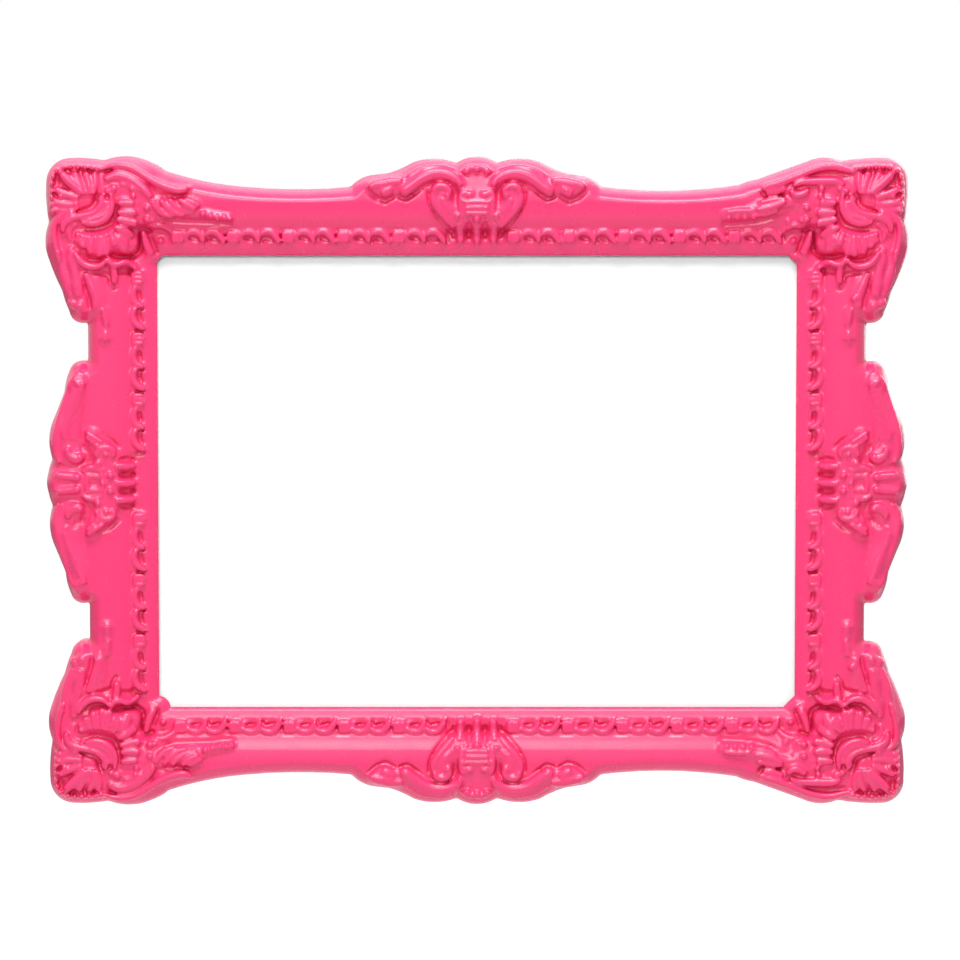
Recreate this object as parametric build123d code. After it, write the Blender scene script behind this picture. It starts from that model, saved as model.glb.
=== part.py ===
from build123d import *
from build123d.topology import SkipClean
import math
import os

# A carved-look plastic photo frame that holds itself to a steel surface by six magnets in its hollow back.
# X runs along the picture, Z is up, and the front faces -Y. The back plane is Y = 0, and the origin lies on it
# behind the middle of the picture opening. Each piece is drawn lying on its back, so that its sketches are the
# front view and its heights are depths forward from the back plane, and it is stood up as it is written.

# Picture stack, from the front
print_width = 180.0
print_height = 130.0
picture_overlap = 4.0
picture_play = 0.5
window_thickness = 1.0
card_thickness = 0.4
panel_thickness = 2.2
stack_margin = 0.3
panel_corner = 2.0

# Turn buttons and their screws
button_length = 13.0
button_reach = 9.0
button_width = 6.0
button_thickness = 0.8
button_gap = 0.2
button_pad_height = 0.5
button_pad_radius = 1.7
pivot_gap = 2.5
pivot_share = 0.52
boss_radius = 3.0
shank_radius = 1.3
shank_length = 6.0
running_clearance = 0.05
thread_clearance = 0.02
head_radius = 2.6
head_height = 0.9
head_edge = 0.3
head_recess = 0.7
slot_width = 0.7
slot_cut = 0.45

# Magnets
magnet_radius = 6.0
magnet_thickness = 3.0
magnet_clearance = 0.1
magnet_edge = 0.3
magnet_gap = 0.3
adhesive_radius = 5.4
adhesive_thickness = 0.2
cup_wall = 1.5

# Outline: how far the ornament reaches past the opening, and the share of it that the plain bars reach
side_reach = 29.9
top_reach = 26.6
side_bar_share = 0.622
top_bar_share = 0.69

# Rail section, outward from the opening: widths, and the rise or drop from one depth to the next
lip_thickness = 1.0
lip_width = 2.6
lip_rise = 1.0
band_width = 4.4
band_step = 0.3
band_ledge = 1.0
face_width = 7.6
crown_rise = 2.2
outer_width = 2.4
edge_drop = 2.8
face_bow_share = 0.05
outer_bow_share = 0.14

# Shoulder inside the outline, and the swellings on it: each step's inset, and its drop or rise
shoulder_drop = 0.2
shoulder_steps = ((0.0, 1.8), (0.8, 0.7), (1.9, 0.0))
plate_steps = ((2.4, 1.3), (3.8, 2.3))
plate_corner_shares = (0.70, 0.53)
plate_start = 13.5

# Hollow back
wall = 2.0
inner_wall = 2.0
rim_gap = 0.3
roof_wall = 2.1
core_rise = 1.5
crown_core_inner = 5.0
crown_core_outer = 0.6
plate_core_inset = 1.4
rib_width = 1.4
rib_bar_shares = (0.2, 0.82)
rib_side_shares = (0.5,)

# Raised ornament: heights over the shoulder, the band or the lip
relief_wall = 0.2
relief_inset = 0.7
bold_rise = 4.0
fine_rise = 5.2
medallion_rise = 4.8
finger_rise = 2.4
bead_radius = 1.3
corner_bead_radius = 3.0
corner_bead_rise = 2.8

overrun = 1.0

opening_width = print_width - 2 * picture_overlap
opening_height = print_height - 2 * picture_overlap
half_opening_width = opening_width / 2
half_opening_height = opening_height / 2
half_width = half_opening_width + side_reach
half_height = half_opening_height + top_reach
pocket_width = print_width + 2 * picture_play
pocket_height = print_height + 2 * picture_play
inner_wall_distance = picture_overlap + picture_play + inner_wall
pivot_distance = inner_wall_distance + pivot_gap
cup_radius = magnet_radius + magnet_clearance + cup_wall
magnet_distance = inner_wall_distance + cup_radius + magnet_gap
crown_distance = lip_width + band_width + face_width
rail_width = crown_distance + outer_width

boss_depth = head_recess + head_height + button_thickness
panel_back = boss_depth + button_gap
panel_front = panel_back + panel_thickness
card_front = panel_front + card_thickness
rebate_depth = card_front + window_thickness
rim_depth = panel_back + rim_gap
lip_depth = rebate_depth + lip_thickness
band_floor_depth = lip_depth + lip_rise
face_start_depth = band_floor_depth + band_ledge
crown_depth = face_start_depth + crown_rise
rail_edge_depth = crown_depth - edge_drop
shoulder_depth = rail_edge_depth - shoulder_drop
roof_depth = shoulder_depth - roof_wall
core_depth = roof_depth + core_rise
relief_root = core_depth + relief_wall
fine_depth = shoulder_depth + fine_rise

# Upper half of each side edge, from its middle up: share of the half height, share of the side reach,
# and the bulge of the stretch that leads there as a share of its chord
side_middle_bulge_share = 0.11
side_edge_shares = (
    (0.072, 0.95, side_middle_bulge_share),
    (0.188, 0.946, 0.09),
    (0.276, 0.833, 0.0),
    (0.345, 0.789, 0.06),
    (0.368, side_bar_share, 0.25),
    (0.493, side_bar_share, 0.0),
    (0.527, 0.789, 0.25),
    (0.588, 0.85, 0.03),
    (0.696, 0.98, 0.02),
    (0.798, 0.967, 0.09),
    (0.919, 0.99, 0.03),
)

# Top edge from left to right: share of the half width, share of the top reach, and bulge
top_edge_shares = (
    (-0.945, 0.981, 0.2),
    (-0.862, 0.959, 0.03),
    (-0.759, 0.947, 0.105),
    (-0.72, 0.85, 0.05),
    (-0.535, top_bar_share, -0.03),
    (-0.293, top_bar_share, -0.022),
    (-0.247, 0.808, 0.08),
    (-0.203, 0.831, 0.0),
    (-0.147, 0.94, -0.03),
    (-0.047, 0.932, 0.09),
    (0.047, 0.932, 0.155),
    (0.147, 0.94, 0.09),
    (0.205, 0.827, -0.03),
    (0.248, 0.797, 0.0),
    (0.289, top_bar_share, 0.08),
    (0.608, 0.711, -0.035),
    (0.647, 0.763, 0.05),
    (0.764, 0.947, 0.0),
    (0.844, 0.951, 0.11),
    (0.953, 0.981, 0.03),
)
corner_bulge_share = 0.2

# Corner relief: ends of each leaf as shares of the side reach and the top reach past the opening's corner,
# then the bulge of its outer and inner edge as shares of its length
corner_bold_shares = (
    (0.93, 0.36, 0.74, -0.50, 0.13, 0.03),
    (0.62, 0.62, 0.94, 0.93, 0.36, 0.36),
    (0.66, 0.30, 0.42, 0.62, 0.34, -0.12),
    (0.88, 0.16, 0.58, 0.28, -0.12, 0.34),
    (0.44, 0.42, 0.10, 0.04, 0.36, 0.36),
    (0.34, 0.44, -0.62, 0.40, 0.08, 0.05),
    (0.46, 0.26, 0.46, -0.80, 0.05, 0.08),
)
short_leaf_shares = (0.42, 0.93, 0.02, 0.82, 0.14, 0.12)
long_leaf_shares = (0.42, 0.93, -0.36, 0.76, 0.10, 0.08)
shell_centre_shares = (0.61, 0.50)
# Ribs: angle in degrees, then the shares of the reach where each rib starts and ends
shell_rib_shares = ((4.0, 0.10, 0.32), (26.0, 0.12, 0.37), (50.0, 0.12, 0.43), (73.0, 0.12, 0.39), (94.0, 0.10, 0.33))
inner_shell_centre_shares = (0.42, 0.36)
inner_rib_shares = ((186.0, 0.08, 0.30), (207.0, 0.08, 0.36), (229.0, 0.08, 0.40), (252.0, 0.08, 0.36))
rib_bulge_share = 0.16

# Crest relief, as shares of the crest's half width along the bar and of the reach past the opening
crest_half_width = 31.0
crest_arm_shares = (
    (0.08, 0.74, 0.56, 0.72, 0.26, -0.08),
    (0.50, 0.80, 0.92, 0.74, 0.22, -0.02),
    (0.36, 0.72, 0.16, 0.20, -0.22, 0.42),
)
crest_finger_shares = (-0.15, 0.0, 0.15)
finger_reach_shares = (0.1, 0.34)
crest_bead_shares = ((-0.09, 0.61), (0.09, 0.61), (0.0, 0.37), (-0.17, 0.38), (0.17, 0.38))
crest_shell_share = 0.70
crest_rib_shares = ((42.0, 0.04, 0.19), (66.0, 0.04, 0.22), (90.0, 0.04, 0.24), (114.0, 0.04, 0.22), (138.0, 0.04, 0.19))
medallion_shares = (0.26, 0.28, 0.77)


def stretch(start, end, bulge):
    """One edge from start to end, an arc that stands out to the left by bulge times its length."""
    a, b = Vector(start), Vector(end)
    if bulge == 0:
        return Line(a, b)
    along = b - a
    middle = (a + b) / 2 + Vector(-along.Y, along.X) * bulge
    return ThreePointArc(a, middle, b)


def ring_face(points, bulges):
    """A face whose edge runs through the points and back to the first."""
    ends = points[1:] + points[:1]
    edges = [stretch(a, b, bulge) for a, b, bulge in zip(points, ends, bulges)]
    return make_face(Curve() + edges)


def leaf(start, end, outer, inner):
    """A pointed leaf from start to end, with its own bulge on either side."""
    return ring_face([start, end], [outer, inner])


def slab(sketch, near, far):
    """The solid that a front-view sketch fills between two depths."""
    return Pos(0, 0, near) * extrude(sketch, far - near)


def outline():
    """The lobed front outline of the whole frame."""
    left = [(-half_opening_width - reach * side_reach, z * half_height) for z, reach, _ in side_edge_shares]
    top = [(x * half_width, half_opening_height + reach * top_reach) for x, reach, _ in top_edge_shares]
    right = [(-x, z) for x, z in left]
    side_bulges = [bulge for _, _, bulge in side_edge_shares[1:]]
    top_bulges = [bulge for _, _, bulge in top_edge_shares]
    upper = left + top + right[::-1]
    lower = [(x, -z) for x, z in upper[::-1]]
    bulges = side_bulges + top_bulges + [corner_bulge_share] + side_bulges[::-1]
    middle = [side_middle_bulge_share]
    return ring_face(upper + lower, bulges + middle + bulges[::-1] + middle)


def rail_section():
    """The bar's section over the middle of the opening: distance out from it, and depth."""
    band_end = lip_width + band_width
    points = [
        (0, 0),
        (0, lip_depth),
        (lip_width, band_floor_depth),
        (band_end, band_floor_depth),
        (band_end + band_step, face_start_depth),
        (crown_distance, crown_depth),
        (rail_width, rail_edge_depth),
        (rail_width, 0),
    ]
    bulges = [0, 0, 0, 0, face_bow_share, outer_bow_share, 0, 0]
    plane = Plane(origin=(0, half_opening_height, 0), x_dir=(0, 1, 0), z_dir=(1, 0, 0))
    return plane * ring_face(points, bulges)


def rail():
    """The four plain bars, mitred at the corners."""
    path = Rectangle(opening_width, opening_height).wire()
    return sweep(rail_section(), path=path, transition=Transition.RIGHT)


def skirt():
    """The outer wall and the steps of its shoulder, each inside the one behind it."""
    face = outline()
    steps = []
    near = 0
    for inset, drop in shoulder_steps:
        far = shoulder_depth - drop
        steps.append(slab(offset(face, -inset) if inset else face, near, far))
        near = (near + far) / 2
    return steps


def corner_place(side_share, top_share):
    """A point past the opening's upper right corner, from shares of the two reaches."""
    return half_opening_width + side_share * side_reach, half_opening_height + top_share * top_reach


def corner_leaf(row):
    """One leaf of the upper right corner from its row of shares."""
    return leaf(corner_place(row[0], row[1]), corner_place(row[2], row[3]), row[4], row[5])


def fan(centre, rows, reach):
    """Narrow ribs round a centre, each with its angle and its two ends as shares of a reach."""
    ribs = []
    for angle, near, far in rows:
        turn = math.radians(angle)
        ends = [(centre[0] + r * reach * math.cos(turn), centre[1] + r * reach * math.sin(turn)) for r in (near, far)]
        ribs.append(leaf(ends[0], ends[1], rib_bulge_share, rib_bulge_share))
    return ribs


def corner_relief(top_leaf_row, inside):
    """The raised leaves, scroll and shells of the upper right corner, as solids."""
    bold = [corner_leaf(row) for row in corner_bold_shares + (top_leaf_row,)]
    fine = fan(corner_place(*shell_centre_shares), shell_rib_shares, side_reach)
    fine += fan(corner_place(*inner_shell_centre_shares), inner_rib_shares, side_reach)
    bead = Pos(*corner_place(0, 0)) * Circle(corner_bead_radius)
    return [
        slab((Sketch() + bold) & inside, relief_root, shoulder_depth + bold_rise),
        slab((Sketch() + fine) & inside, relief_root, fine_depth),
        slab(bead, rebate_depth, lip_depth + corner_bead_rise),
    ]


def frame_ring(distance):
    """The rectangle that lies the given distance outside the opening."""
    return Rectangle(opening_width + 2 * distance, opening_height + 2 * distance)


def plates(inset):
    """Front view of the low swellings under the corners' and crests' relief, inset from the outline."""
    across, up = plate_corner_shares
    width = (1 - across) * half_width
    height = (1 - up) * half_height
    middle_x = half_width - width / 2
    middle_y = half_height - height / 2
    corner_zones = [
        Pos(x, y) * Rectangle(width, height) for x in (middle_x, -middle_x) for y in (middle_y, -middle_y)
    ]
    crest_zones = [
        Rectangle(2 * crest_half_width, 2 * half_height),
        Rectangle(2 * half_width, 2 * crest_half_width),
    ]
    return (Sketch() + corner_zones + crest_zones - frame_ring(plate_start)) & offset(outline(), -inset)


def crest_place(along_share, reach_share, reach, half_opening):
    """A point of a crest over the middle of a bar: along the bar, and out past the opening."""
    return along_share * crest_half_width, half_opening + reach_share * reach


def crest_relief(reach, half_opening, inside):
    """The cartouche, drawn over the middle of the top bar, as solids."""
    arms = []
    for row in crest_arm_shares:
        start = crest_place(row[0], row[1], reach, half_opening)
        end = crest_place(row[2], row[3], reach, half_opening)
        arms.append(leaf(start, end, row[5], row[4]))
    arms += [mirror(arm, about=Plane.YZ) for arm in arms]
    medallion_width, low_share, high_share = medallion_shares
    low = crest_place(0, low_share, reach, half_opening)
    high = crest_place(0, high_share, reach, half_opening)
    medallion = leaf(low, high, medallion_width, medallion_width)
    ribs = fan(crest_place(0, crest_shell_share, reach, half_opening), crest_rib_shares, reach)
    beads = [Pos(*crest_place(a, b, reach, half_opening)) * Circle(bead_radius) for a, b in crest_bead_shares]
    fingers = []
    for share in crest_finger_shares:
        foot = crest_place(share, finger_reach_shares[0], reach, half_opening)
        tip = crest_place(share, finger_reach_shares[1], reach, half_opening)
        fingers.append(leaf(foot, tip, rib_bulge_share, rib_bulge_share))
    return [
        slab((Sketch() + arms) & inside, relief_root, shoulder_depth + bold_rise),
        slab(medallion, relief_root, shoulder_depth + medallion_rise),
        slab((Sketch() + ribs + beads) & inside, relief_root, fine_depth),
        slab(Sketch() + fingers, relief_root, band_floor_depth + finger_rise),
    ]


def magnet_places():
    """Middles of the six magnets in the front view."""
    x = half_opening_width + magnet_distance
    y = half_opening_height + magnet_distance
    return {
        "top_left": (-x, y),
        "top_middle": (0, y),
        "top_right": (x, y),
        "bottom_left": (-x, -y),
        "bottom_middle": (0, -y),
        "bottom_right": (x, -y),
    }


def pivot_places():
    """Pivot of each turn button in the front view, and the angle that points it at the picture."""
    x = pivot_share * half_opening_width
    y = half_opening_height + pivot_distance
    side_x = half_opening_width + pivot_distance
    return {
        "top_left": (-x, y, 180),
        "top_right": (x, y, 180),
        "bottom_left": (-x, -y, 0),
        "bottom_right": (x, -y, 0),
        "left": (-side_x, 0, -90),
        "right": (side_x, 0, 90),
    }


def discs(places, radius):
    """Front view of a round of one radius at each place."""
    return Sketch() + [Pos(place[0], place[1]) * Circle(radius) for place in places]


def ribs():
    """Front view of the ribs that cross the hollow back."""
    top = [Pos(side * share * half_opening_width, 0) for share in rib_bar_shares for side in (1, -1)]
    side = [Pos(0, end * share * half_opening_height) for share in rib_side_shares for end in (1, -1)]
    upright = [place * Rectangle(rib_width, 2 * half_height) for place in top]
    level = [place * Rectangle(2 * half_width, rib_width) for place in side]
    return Sketch() + upright + level


def hollow():
    """The cuts that open the picture space and hollow the back, from the rear forwards."""
    inside = offset(outline(), -wall)
    cups = discs(magnet_places().values(), cup_radius)
    bosses = discs(pivot_places().values(), boss_radius)
    inner = frame_ring(inner_wall_distance)
    kept = cups + bosses + ribs()
    crown = frame_ring(crown_distance + crown_core_outer) - frame_ring(crown_distance - crown_core_inner)
    under_plates = plates(plate_steps[0][0] + plate_core_inset)
    through = Rectangle(opening_width, opening_height)
    pocket = Rectangle(pocket_width, pocket_height)
    return [
        slab(through, -overrun, fine_depth + overrun),
        slab(pocket, -overrun, rebate_depth),
        slab(inside - cups, -overrun, boss_depth),
        slab(inside - cups - bosses, boss_depth, rim_depth),
        slab(inside - inner - kept, rim_depth, roof_depth),
        slab((crown + under_plates) - kept, rim_depth, core_depth),
    ]


def frame_moulding():
    """The whole moulding. Its lower half mirrors the upper one."""
    upper_zone = Rectangle(2 * half_width, 2 * half_height, align=(Align.CENTER, Align.MIN))
    upper = slab(upper_zone, -overrun, fine_depth + overrun)
    inside = offset(outline(), -relief_inset)
    swellings = [slab(plates(inset), relief_root, shoulder_depth + rise) for inset, rise in plate_steps]
    base = [solid & upper for solid in skirt() + [rail()] + swellings]
    base = base[0].fuse(*base[1:]).cut(*hollow())
    upright = Rot(0, 0, 90) * inside
    side_crest = [Rot(0, 0, -90) * solid for solid in crest_relief(side_reach, half_opening_width, upright)]
    side_crest += [mirror(solid, about=Plane.YZ) for solid in side_crest]
    relief = [solid & upper for solid in side_crest]
    relief += crest_relief(top_reach, half_opening_height, inside)
    relief += corner_relief(long_leaf_shares, inside)
    relief += [mirror(s, about=Plane.YZ) for s in corner_relief(short_leaf_shares, mirror(inside, about=Plane.YZ))]
    half = base.fuse(*relief)
    cup = discs(magnet_places().values(), magnet_radius + magnet_clearance)
    pilot = discs(pivot_places().values(), shank_radius + thread_clearance)
    cups = slab(cup, -overrun, magnet_thickness + adhesive_thickness)
    pilots = slab(pilot, -overrun, boss_depth + shank_length)
    with SkipClean():
        whole = half.fuse(mirror(half, about=Plane.XZ))
    return whole.cut(cups, pilots)


def stack_sheet(width, height, near, far, corner=0):
    """One flat sheet of the picture stack."""
    sheet = RectangleRounded(width, height, corner) if corner else Rectangle(width, height)
    return slab(sheet, near, far)


def turn_button():
    """A turn button with its pivot at the origin, pointing along +Y, resting on its boss."""
    tail = button_length - button_reach
    body = Pos(0, (button_reach - tail) / 2) * SlotOverall(button_length, button_width, rotation=90)
    body -= Circle(shank_radius + running_clearance)
    top = boss_depth - button_thickness
    pad = Pos(0, button_reach - button_width / 2) * Circle(button_pad_radius)
    return slab(body, top, boss_depth) + slab(pad, top - button_pad_height, top)


def screw():
    """A slotted pan-head screw with its axis at the origin."""
    head_base = boss_depth - button_thickness
    head = slab(Circle(head_radius), head_base - head_height, head_base)
    head = fillet(head.edges().group_by(Axis.Z)[0], head_edge)
    head -= slab(Rectangle(2 * head_radius, slot_width), -overrun, head_base - head_height + slot_cut)
    return head + slab(Circle(shank_radius), head_base, boss_depth + shank_length)


def magnet():
    """A round ferrite magnet, flush with the back plane."""
    body = slab(Circle(magnet_radius), 0, magnet_thickness)
    return chamfer(body.edges(), magnet_edge)


def write(name, solids):
    """Stands a piece up and writes it, with like pieces as one group."""
    stood = [Rot(90, 0, 0) * solid for solid in solids]
    shape = stood[0] if len(stood) == 1 else Compound(children=stood)
    export_step(shape, f"parts/{name}.step")


def main():
    os.makedirs("parts", exist_ok=True)
    write("frame_moulding", [frame_moulding()])
    sheet_width = pocket_width - 2 * stack_margin
    sheet_height = pocket_height - 2 * stack_margin
    write("clear_window", [stack_sheet(sheet_width, sheet_height, card_front, rebate_depth)])
    write("photo_card", [stack_sheet(print_width, print_height, panel_front, card_front)])
    write("backing_panel", [stack_sheet(sheet_width, sheet_height, panel_back, panel_front, panel_corner)])
    screws = []
    for name, (x, y, turn) in pivot_places().items():
        place = Pos(x, y, 0) * Rot(0, 0, turn)
        write(f"turn_button_{name}", [place * turn_button()])
        screws.append(place * screw())
    write("turn_button_screws", screws)
    adhesive = slab(Circle(adhesive_radius), magnet_thickness, magnet_thickness + adhesive_thickness)
    for name, (x, y) in magnet_places().items():
        write(f"magnet_{name}", [Pos(x, y, 0) * magnet()])
    write("magnet_adhesive_discs", [Pos(x, y, 0) * adhesive for x, y in magnet_places().values()])


main()
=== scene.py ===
"""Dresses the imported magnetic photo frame: its carved-look moulding, its picture stack and its back."""
import math

import bmesh
import bpy
from mathutils import Matrix, Vector
from mathutils.bvhtree import BVHTree
from mathutils.kdtree import KDTree


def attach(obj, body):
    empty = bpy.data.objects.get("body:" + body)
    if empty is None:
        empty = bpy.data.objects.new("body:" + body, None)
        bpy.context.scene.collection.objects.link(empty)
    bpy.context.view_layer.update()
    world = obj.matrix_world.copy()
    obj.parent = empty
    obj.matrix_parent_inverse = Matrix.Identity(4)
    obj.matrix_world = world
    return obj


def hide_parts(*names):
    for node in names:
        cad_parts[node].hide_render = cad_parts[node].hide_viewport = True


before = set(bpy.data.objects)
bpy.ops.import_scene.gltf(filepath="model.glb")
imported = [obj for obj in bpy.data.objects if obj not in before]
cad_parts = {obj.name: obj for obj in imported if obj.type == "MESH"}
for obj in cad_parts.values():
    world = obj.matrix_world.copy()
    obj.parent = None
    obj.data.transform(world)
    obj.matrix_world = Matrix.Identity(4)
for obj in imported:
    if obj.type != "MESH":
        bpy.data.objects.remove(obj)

bl_info = {
    "name": "Magnetic photo frame",
    "version": (1, 0, 0),
    "blender": (4, 5, 0),
    "location": "View3D > Sidebar > Photo Frame",
    "description": "Builds the visible pieces of a carved-look magnetic photo frame around its packed solids",
    "category": "Object",
}

# The moulding is modelled in millimetres, in the front view, and is scaled to metres at the end.
MILLIMETRE = 0.001
HALF_OPENING = (86.0, 61.0)
HIGHEST = 13.5

# Section of the bar behind the ornament: distance out from the opening, then depth forward of the back plane
BAR_SECTION = (
    (-0.2, 5.2), (0.2, 7.1), (2.5, 8.2), (2.9, 8.25), (6.9, 8.25), (7.25, 9.3), (8.2, 9.85), (9.6, 10.45),
    (11.0, 10.85), (12.8, 11.15), (14.6, 11.35), (17.5, 11.3), (22.0, 10.8), (34.0, 10.2),
)
# The rounded shoulder: distance in from the outline, then depth
SHOULDER = (
    (-0.6, 4.9), (0.0, 6.5), (0.35, 7.8), (0.9, 9.0), (1.6, 10.0), (2.4, 10.8), (3.1, 11.3),
    (4.6, 11.6), (6.0, 11.9),
)
# How far back the carved front reaches before it is trimmed to meet the hollow back
BASE_DEPTH = 4.0

# The ornament is made of low pads that swell from the bar, hollows, which are pads with a rise below zero,
# and rounded strokes over them. Each row is its rise over the bar, then its knots as (out across the side
# bars, out across the top bar, half width), from the opening's corner. Beads are (rise, out, out, radius).
CORNER_PADS = (
    (1.3, ((8.0, 13.0, 3.4), (7.6, 9.0, 3.8), (8.2, 5.4, 4.2))),
    (1.3, ((11.6, 4.6, 3.8), (15.0, 4.2, 3.5), (18.0, 4.4, 3.0))),
    (0.7, ((12.0, 14.5, 2.6), (14.0, 11.0, 3.4), (19.0, 9.5, 3.0))),
    (0.9, ((23.0, 7.0, 4.4), (22.8, 1.0, 4.4), (21.6, -5.0, 4.0), (20.4, -9.5, 3.6), (19.6, -12.8, 2.8))),
    (0.9, ((14.0, 19.5, 4.0), (8.0, 19.0, 4.8), (3.5, 17.0, 4.2), (1.0, 14.5, 3.4))),
    (0.9, ((3.2, 14.0, 3.2), (2.4, 11.2, 2.8), (1.4, 9.4, 2.2))),
    (0.9, ((17.0, -6.0, 2.6), (16.0, -10.0, 2.4), (15.6, -13.6, 2.0))),
    (0.8, ((13.5, -15.0, 1.2), (13.3, -18.6, 1.1), (13.5, -22.2, 1.7))),
    (0.9, ((3.2, 6.0, 1.0), (2.4, 2.6, 1.5), (1.2, -0.2, 1.6))),
    (1.1, ((18.8, 14.6, 2.6), (21.4, 17.4, 5.2))),
    (1.1, ((20.4, 14.6, 2.4), (24.2, 14.6, 3.2))),
    (2.7, ((8.8, 4.6, 2.8), (7.5, 3.1, 3.1))),
    (-0.5, ((24.2, 18.6, 0.9), (21.8, 16.9, 0.9), (20.0, 15.8, 0.8))),
    (-0.7, ((10.4, 13.6, 1.3), (10.8, 9.6, 1.4), (13.0, 7.5, 1.4), (15.6, 6.9, 1.3), (18.0, 6.9, 1.0))),
    (-0.5, ((15.3, 16.0, 1.0), (15.9, 13.8, 1.3), (17.4, 12.4, 1.4), (19.8, 11.8, 1.0))),
    (-0.9, ((19.6, -6.8, 0.9), (18.4, -8.8, 1.2), (17.8, -11.0, 1.3), (17.5, -13.6, 1.1))),
    (-1.5, ((3.9, 6.0, 0.8), (3.9, 3.0, 1.0), (4.6, 1.0, 1.1), (6.4, -0.2, 1.1), (8.8, -0.5, 1.1),
            (11.0, -0.1, 0.9), (12.2, 0.4, 0.6))),
    (-1.2, ((4.2, 7.9, 0.8), (2.8, 7.2, 1.1), (1.6, 6.6, 0.8))),
    (-0.7, ((20.0, 0.2, 0.7), (18.2, -1.2, 0.9), (15.6, -1.6, 0.8), (13.8, -1.2, 0.6))),
    (-1.0, ((16.2, -4.6, 0.7), (13.4, -4.9, 1.0), (12.2, -5.6, 0.9))),
    (-1.1, ((9.9, -4.4, 0.9), (8.0, -4.1, 1.1), (6.0, -5.2, 1.0))),
    (-0.9, ((12.3, -6.8, 0.7), (11.2, -8.7, 0.8))),
    (-1.0, ((1.6, 5.0, 0.7), (1.0, 2.8, 1.0), (0.2, 0.6, 0.9))),
)
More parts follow.
